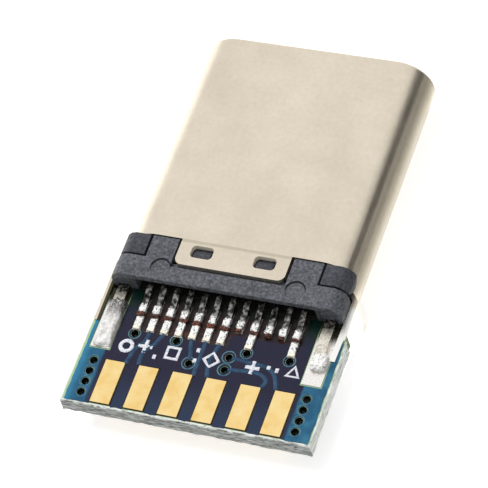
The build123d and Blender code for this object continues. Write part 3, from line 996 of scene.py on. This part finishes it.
def make_mask(side, name):
    """Solder mask on one face of the board, open over the pads and holes."""
    inner = board_high.z if side > 0 else board_low.z - mask_thickness
    outer = inner + mask_thickness
    shoulder = board_low.y + board_wide_length
    left = board_low.x + mask_border_left
    right = board_high.x - mask_border_right
    front = shoulder - 0.05
    film = wavy_slab(
        (left, board_low.y + mask_rear_border, inner), (right, front, outer), step=slab_step, layers=1
    )
    clip_corner(film, (left, front - shoulder_chamfer, inner), (-1, 1, 0))
    clip_corner(film, (right, front - shoulder_chamfer, inner), (1, 1, 0))
    sides = rim_group(film, "sides", lambda place: place.x < left + touch or place.x > right - touch)
    roughen(film, 0.25, 0.07, group=sides, direction="X")
    rear = rim_group(film, "rear", lambda place: place.y < board_low.y + mask_rear_border + touch)
    roughen(film, 0.25, 0.10, group=rear, direction="Y")
    neck_side = neck_half_width - mask_neck_border
    neck = box_block((-neck_side, shoulder - 0.3, inner), (neck_side, carrier_rear, outer))
    cut(film, [neck], "UNION")
    low = inner - spare
    high = outer + spare
    windows = []
    for number in range(cable_pad_count):
        x = (number - (cable_pad_count - 1) / 2) * cable_pad_pitch + mask_shift_x
        reach = cable_pad_width / 2 + mask_margin
        front_edge = cable_pad_high.y + mask_margin + mask_shift_y
        windows.append(box_block((x - reach, cable_pad_low.y - 0.2, low), (x + reach, front_edge, high)))
    for hand in (-1, 1):
        x = hand * (shield_pad_high.x - shield_pad_width / 2)
        reach = shield_pad_width / 2 + mask_margin
        rear_edge = shield_pad_low.y - mask_margin
        windows.append(box_block((x - reach, rear_edge, low), (x + reach, carrier_rear + 1, high)))
    left_zone = contact_x(1) - 0.2
    step_x = contact_x(8) - 0.2
    right_zone = contact_x(12) + 0.2
    windows.append(box_block((left_zone, pad_rear - 0.03, low), (step_x, carrier_rear + 1, high)))
    windows.append(box_block((step_x - 0.01, foot_end - 0.22, low), (right_zone, carrier_rear + 1, high)))
    for number in (9, 12):
        x = contact_x(number)
        windows.append(box_block((x - 0.16, pad_rear - 0.03, low), (x + 0.16, foot_end, high)))
    windows += hole_rods(mask_hole_margin, low, high)
    for window in windows:
        cut(film, [window])
    finish_piece(film, name, solder_mask)


def stroke(points, width, thickness, level, closed=False, rounded=True):
    """A flat raised line along points on the board, as a mesh."""
    curve = bpy.data.curves.new("stroke", "CURVE")
    curve.dimensions = "3D"
    curve.resolution_u = 8
    curve.bevel_depth = width / 2
    curve.bevel_resolution = 3
    curve.use_fill_caps = True
    spline = curve.splines.new("NURBS" if rounded else "POLY")
    spline.points.add(len(points) - 1)
    for point, place in zip(spline.points, points):
        point.co = (place[0], place[1], 0, 1)
    spline.use_cyclic_u = closed
    if rounded:
        spline.order_u = 3
        spline.use_endpoint_u = not closed
    line = bpy.data.objects.new("stroke", curve)
    bpy.context.scene.collection.objects.link(line)
    take(line)
    bpy.ops.object.convert(target="MESH")
    line = bpy.context.object
    line.scale = (1, 1, thickness * 2 / width)
    line.location = (0, 0, level)
    return settle(line)


track_width = 0.14
track_height = 0.018
tracks = [
    [(-2.25, -4.26), (-2.26, -4.65), (-2.50, -4.89), (-2.59, -5.23), (-2.66, -5.60)],
    [(-1.75, -4.26), (-1.86, -4.50), (-1.90, -4.66), (-2.08, -4.87), (-2.27, -5.08), (-2.20, -5.55)],
    [(-0.75, -4.26), (-0.72, -4.49), (-0.62, -4.72), (-0.56, -5.02)],
    [(-0.25, -4.26), (-0.24, -4.57), (-0.25, -5.04), (-0.24, -5.58)],
    [(0.25, -4.26), (0.14, -4.62), (0.10, -5.12), (0.24, -5.56)],
    [(0.83, -4.68), (1.30, -4.73), (2.00, -4.75), (2.32, -4.90), (2.54, -5.19), (2.64, -5.56)],
    [(0.83, -5.13), (1.35, -5.08), (1.86, -5.05), (2.20, -5.20), (2.24, -5.40), (2.12, -5.58)],
]


def make_tracks():
    """Raised tracks under the mask, from the contact pads to the cable pads."""
    level = board_high.z + mask_thickness
    lines = [stroke(points, track_width, track_height, level) for points in tracks]
    finish_piece(join(lines), "board_tracks", track_mask, smooth=60)


def ring(place, radius, width, height, level):
    """A flat ring round a hole."""
    bpy.ops.mesh.primitive_torus_add(
        major_radius=radius,
        minor_radius=width / 2,
        major_segments=36,
        minor_segments=8,
        location=(place[0], place[1], level),
    )
    hoop = bpy.context.object
    hoop.scale = (1, 1, height * 2 / width)
    return settle(hoop)


def make_rings():
    """Copper rings round the holes, under the mask."""
    for side, name in ((1, "hole_rings_top"), (-1, "hole_rings_bottom")):
        level = board_middle + side * (board_thickness / 2 + mask_thickness)
        hoops = []
        for place in signal_holes:
            hoops.append(ring(place, signal_hole_radius + 0.095, 0.045, 0.014, level))
        for place in contact_holes:
            hoops.append(ring(place, signal_hole_radius + 0.075, 0.04, 0.012, level))
        for place in edge_holes:
            hoops.append(ring(place, edge_hole_radius + 0.05, 0.03, 0.012, level))
        finish_piece(join(hoops), name, ring_mask, smooth=60)


def make_hole_plugs():
    """Mask that has run into the holes and dried as a dish below each mouth."""
    plugs = []
    for place in inner_holes + edge_holes:
        bpy.ops.mesh.primitive_uv_sphere_add(
            segments=24, ring_count=12, radius=edge_hole_radius - 0.002, location=(*place, board_middle)
        )
        plug = bpy.context.object
        plug.scale = (0.9, 0.9, 1.25)
        plugs.append(settle(plug))
    piece = join(plugs)
    roughen(piece, 0.1, 0.05)
    # The plugs take the hole walls' finish, near black with painted shade.
    finish_piece(piece, "hole_plugs", hole_wall, smooth=60)


# Print


def mark_outline(centre, reach, sides, turn):
    """Points of a closed mark with straight sides."""
    return [
        (
            centre[0] + reach * math.cos(math.radians(turn) + 2 * math.pi * step / sides),
            centre[1] + reach * math.sin(math.radians(turn) + 2 * math.pi * step / sides),
        )
        for step in range(sides)
    ]


def make_print():
    """White print between the two rows of pads: plain signs, no letters."""
    level = board_high.z + mask_thickness
    width = 0.135
    height = 0.022
    lines = []
    lines.append(stroke(mark_outline((-2.86, -4.93), 0.21, 10, 0), width, height, level, closed=True))
    for centre in ((-2.20, -4.83), (1.62, -4.90)):
        for dx, dy in ((0.25, 0.0), (0.0, 0.25)):
            ends = [(centre[0] - dx, centre[1] - dy), centre, (centre[0] + dx, centre[1] + dy)]
            lines.append(stroke(ends, width, height, level))
    for centre, reach, sides, turn in (
        ((-1.21, -4.90), 0.29, 4, 45),
        ((0.17, -4.90), 0.26, 4, 0),
        ((3.02, -4.84), 0.25, 3, 90),
    ):
        outline = mark_outline(centre, reach, sides, turn)
        lines.append(stroke(outline, width, height, level, closed=True, rounded=False))
    for centre in ((-1.78, -5.15), (-0.38, -4.62), (-0.38, -5.02), (2.16, -4.80), (2.46, -4.84)):
        ends = [(centre[0] - 0.06, centre[1]), (centre[0] + 0.06, centre[1])]
        lines.append(stroke(ends, 0.16, height, level))
    piece = join(lines)
    roughen(piece, 0.10, 0.035)
    finish_piece(piece, "board_print", white_print, smooth=60)


# Solder and flux


def mound(low, high, corner, lump_size, lump_amount, cuts=9, leans=()):
    """A rounded lumpy heap with a flat foot, between two corners, with some of its corners moved."""
    heap = box_block((low[0], low[1], 2 * low[2] - high[2]), high)
    for test, move in leans:
        shift(heap, test, move)
    shape(heap, "BEVEL", width=corner, segments=3, limit_method="NONE")
    open_whole(heap)
    bpy.ops.mesh.subdivide(number_cuts=cuts, smoothness=0.0)
    close_edit()
    shape(heap, "SMOOTH", factor=0.7, iterations=6)
    roughen(heap, lump_size, lump_amount)
    open_whole(heap)
    bpy.ops.mesh.bisect(plane_co=(0, 0, low[2]), plane_no=(0, 0, -1), use_fill=True, clear_outer=True)
    close_edit()
    return heap


def make_shield_solder():
    """Solder on the latch feet: a long heap over the left one, a small knot at the end of the right one."""
    outer, inner = left_heap_sides
    front = left_heap_front
    left = mound(
        (outer, shield_pad_low.y + 0.02, pad_top),
        (inner, front, pad_top + left_heap_height),
        corner=0.14,
        lump_size=0.24,
        lump_amount=0.15,
        leans=(
            (lambda place: place.y > front - touch and place.x < outer + touch, (left_heap_slant, 0, 0)),
            (lambda place: place.y < front - touch and place.z > pad_top, (0, 0, -left_heap_drop)),
        ),
    )
    right = mound(
        (*right_knot_low, pad_top),
        (*right_knot_high, pad_top + right_knot_height),
        corner=0.11,
        lump_size=0.10,
        lump_amount=0.17,
        cuts=8,
    )
    piece = finish_piece(join([left, right]), "shield_solder_heaps", lump_solder, smooth=60)
    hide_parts("shield_solder")


def make_contact_tin():
    """Tin on the long contact pads, rounded like a drop, and solder round each foot."""
    drops = []
    knots = []
    for number in range(1, contact_count + 1):
        x = contact_x(number)
        if number not in short_pads:
            low = (x - tin_half_width, pad_rear + 0.01, pad_top)
            high = (x + tin_half_width, foot_end - 0.06, pad_top + tin_height)
            drops.append(mound(low, high, corner=0.035, lump_size=0.12, lump_amount=0.05, cuts=4))
        low = (x - tin_half_width, foot_end - 0.03, pad_top)
        high = (x + tin_half_width, foot_end - 0.03 + foot_solder_length, pad_top + foot_solder_height)
        knots.append(mound(low, high, corner=0.05, lump_size=0.10, lump_amount=0.07, cuts=4))
    finish_piece(join(drops), "contact_pad_tin", foot_solder_metal, smooth=60)
    piece = finish_piece(join(knots), "contact_foot_solder", foot_solder_metal, smooth=60)
    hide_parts("contact_solder_top")


def make_flux():
    """Flux beads between each foot and its tin."""
    chance = random.Random(4)
    beads = []
    for number in range(1, contact_count + 1):
        x = contact_x(number) + chance.uniform(-0.03, 0.03)
        y = foot_end - 0.05 + chance.uniform(-0.03, 0.03)
        reach = 0.15 if number not in short_pads else 0.10
        low = (x - reach, y - 0.09, pad_top - 0.02)
        high = (x + reach, y + 0.06, pad_top + flux_height)
        beads.append(mound(low, high, corner=0.04, lump_size=0.08, lump_amount=0.08, cuts=4))
    finish_piece(join(beads), "flux_beads", brown_flux, smooth=60)


# Studio


def seen_directly(owner):
    """1 where a camera, mirror or glass ray looks, 0 for the light that falls on things."""
    path = add_node(owner, "ShaderNodeLightPath")
    first = calculate(owner, "MAXIMUM", path.outputs["Is Camera Ray"], path.outputs["Is Glossy Ray"])
    return calculate(owner, "MAXIMUM", first, path.outputs["Is Transmission Ray"])


def sheet(name, size, place):
    """A named flat piece of the studio."""
    bpy.ops.mesh.primitive_plane_add(size=size, location=place)
    bpy.context.object.name = name
    return bpy.context.object


def empty_finish(name):
    """A node material with nothing in it yet."""
    look, shader = new_finish(name)
    look.node_tree.nodes.clear()
    return look


def only_reflected(obj):
    """Let only shiny surfaces see a piece of the studio."""
    obj.visible_camera = False
    obj.visible_diffuse = False
    obj.visible_shadow = False


def make_studio():
    """White floor that keeps a shadow, soft light, and dark screens that only reflections see."""
    floor = sheet("studio_floor", 2.0, (0, 0, 0))
    look = empty_finish("studio_floor")
    seen = seen_directly(look)
    paint = add_node(look, "ShaderNodeBsdfDiffuse", {"Color": grey(0.75)})
    glow = add_node(look, "ShaderNodeEmission", {"Color": grey(1), "Strength": 0.66})
    both = add_node(look, "ShaderNodeAddShader", {0: paint.outputs[0], 1: glow.outputs[0]})
    choice = add_node(look, "ShaderNodeMixShader", {0: seen, 1: paint.outputs[0], 2: both.outputs[0]})
    add_node(look, "ShaderNodeOutputMaterial", {"Surface": choice.outputs[0]})
    floor.data.materials.append(look)

    world = bpy.data.worlds.new("studio_world")
    world.use_nodes = True
    bpy.context.scene.world = world
    background = world.node_tree.nodes["Background"]
    levels = {"Value": seen_directly(world), "To Min": 0.5, "To Max": 1.0}
    strength = add_node(world, "ShaderNodeMapRange", levels)
    feed(background, "Color", grey(1))
    feed(background, "Strength", strength.outputs["Result"])

    key_place = Vector((-0.10, 0.06, 0.22))
    bpy.ops.object.light_add(type="AREA", location=key_place)
    key = bpy.context.object
    key.name = "key_light"
    key.rotation_euler = (-key_place).to_track_quat("-Z", "Y").to_euler()
    key.data.size = 0.16
    key.data.energy = 0.55
    key.visible_glossy = False

    # Card on the floor at the right, grey far away and bright beside the plug, for reflections only
    card_width = 0.075
    card_length = 0.16
    card_start = 0.00445
    card = settle(sheet("floor_card", 1, (0.0, 0.0, 0.00002)))
    open_whole(card)
    bpy.ops.transform.resize(value=(card_width, card_length, 1))
    bpy.ops.transform.translate(value=(card_width / 2 + card_start, 0.02, 0))
    close_edit()
    paper = empty_finish("floor_card")
    away = axis_of(paper, 0)
    along = axis_of(paper, 1)
    nearness = spread(paper, calculate(paper, "DIVIDE", 1.0, away), 0.02, 0.24)
    level = ramp(
        paper,
        nearness,
        (0.0, (0.22, 0.22, 0.20, 1)),
        (0.30, (0.30, 0.30, 0.28, 1)),
        (0.62, (0.48, 0.48, 0.45, 1)),
        (0.86, (0.80, 0.79, 0.76, 1)),
        (1.0, (1.15, 1.15, 1.12, 1)),
    )
    beside_tail = multiply(paper, before(paper, along, -0.6, 0.8), before(paper, away, 8.0, 2.0))
    level = mix(paper, beside_tail, level, grey(1.5))
    light = add_node(paper, "ShaderNodeEmission", {"Color": level, "Strength": 1.0})
    add_node(paper, "ShaderNodeOutputMaterial", {"Surface": light.outputs[0]})
    card.data.materials.append(paper)
    only_reflected(card)

    screens = [
        ("right_screen", (0.80, 0.48, 0.28), 0.17, (0.16, 0.085)),
        ("rear_screen", (-0.35, -0.60, 0.62), 0.17, (0.20, 0.10)),
    ]
    dark, shader = new_finish("screen_black")
    feed(shader, "Base Color", (0.01, 0.01, 0.008, 1))
    feed(shader, "Specular IOR Level", 0.0)
    for name, direction, distance, size in screens:
        heading = Vector(direction).normalized()
        screen = sheet(name, 1, heading * distance)
        screen.rotation_euler = heading.to_track_quat("Z", "Y").to_euler()
        screen.scale = (size[0], size[1], 1)
        screen.data.materials.append(dark)
        only_reflected(screen)


def make_camera():
    """Camera at the photograph's place."""
    azimuth = math.radians(camera_azimuth)
    elevation = math.radians(camera_elevation)
    roll = math.radians(camera_roll)
    back = Vector(
        (
            math.sin(azimuth) * math.cos(elevation),
            -math.cos(azimuth) * math.cos(elevation),
            math.sin(elevation),
        ),
    )
    right = Vector((math.cos(azimuth), math.sin(azimuth), 0))
    up = back.cross(right)
    across = math.cos(roll) * right + math.sin(roll) * up
    upward = back.cross(across)
    data = bpy.data.cameras.new("photo_camera")
    data.lens = camera_lens
    data.sensor_width = sensor_width
    data.clip_start = 0.005
    camera = bpy.data.objects.new("photo_camera", data)
    bpy.context.scene.collection.objects.link(camera)
    turn = Matrix((across, upward, back)).transposed().to_4x4()
    camera.matrix_world = Matrix.Translation((camera_aim + camera_distance * back) * mm) @ turn
    bpy.context.scene.camera = camera


make_camera()
finish_nodes()
make_shell()
make_moulding("front_insulator", "front_moulding", insulator_plastic)
make_moulding("upper_carrier", "upper_moulding", carrier_plastic)
make_moulding("lower_carrier", "lower_moulding", carrier_plastic)
make_laminate()
make_mask(1, "solder_mask_top")
make_mask(-1, "solder_mask_bottom")
make_tracks()
make_rings()
make_hole_plugs()
make_print()
make_shield_solder()
make_contact_tin()
make_flux()
make_studio()

bpy.context.scene.view_settings.view_transform = "Standard"
